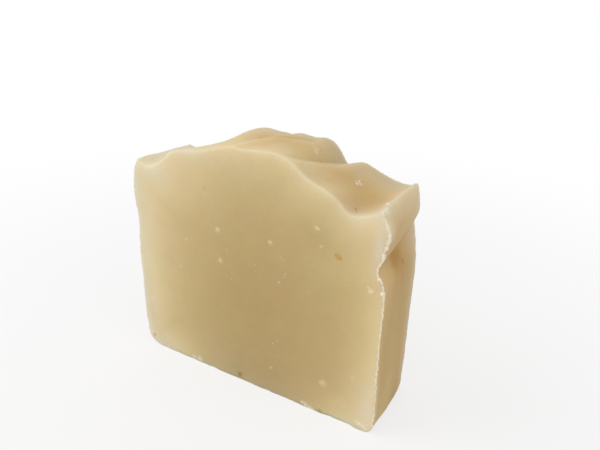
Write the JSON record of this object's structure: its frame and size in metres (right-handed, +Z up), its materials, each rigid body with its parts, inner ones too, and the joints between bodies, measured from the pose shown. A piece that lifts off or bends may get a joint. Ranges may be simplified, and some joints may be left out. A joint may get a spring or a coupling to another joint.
{
  "type": "bar of soap",
  "caption": "Free-standing slab of hand-cut loaf soap with a flat base, straight cut faces, a swirled folded top and an overhanging lip on one side wall.",
  "frame": {"origin": "on the ground under the middle of the bar, at the bottom centre of its bounding box", "axes": "+X across the bar from the rounded left wall to the wall with the overhanging lip, +Y through the bar from the front cut to the back cut, +Z up"},
  "size_m": [0.0915, 0.0266, 0.0819],
  "materials": {
    "soap": "uncoloured cold-process soap: warm beige, faintly translucent, paler along its edges, with small pale specks and a smooth satin cut"
  },
  "bodies": {
    "root": {"soap_bar": "soap"}
  },
  "joints": []
}
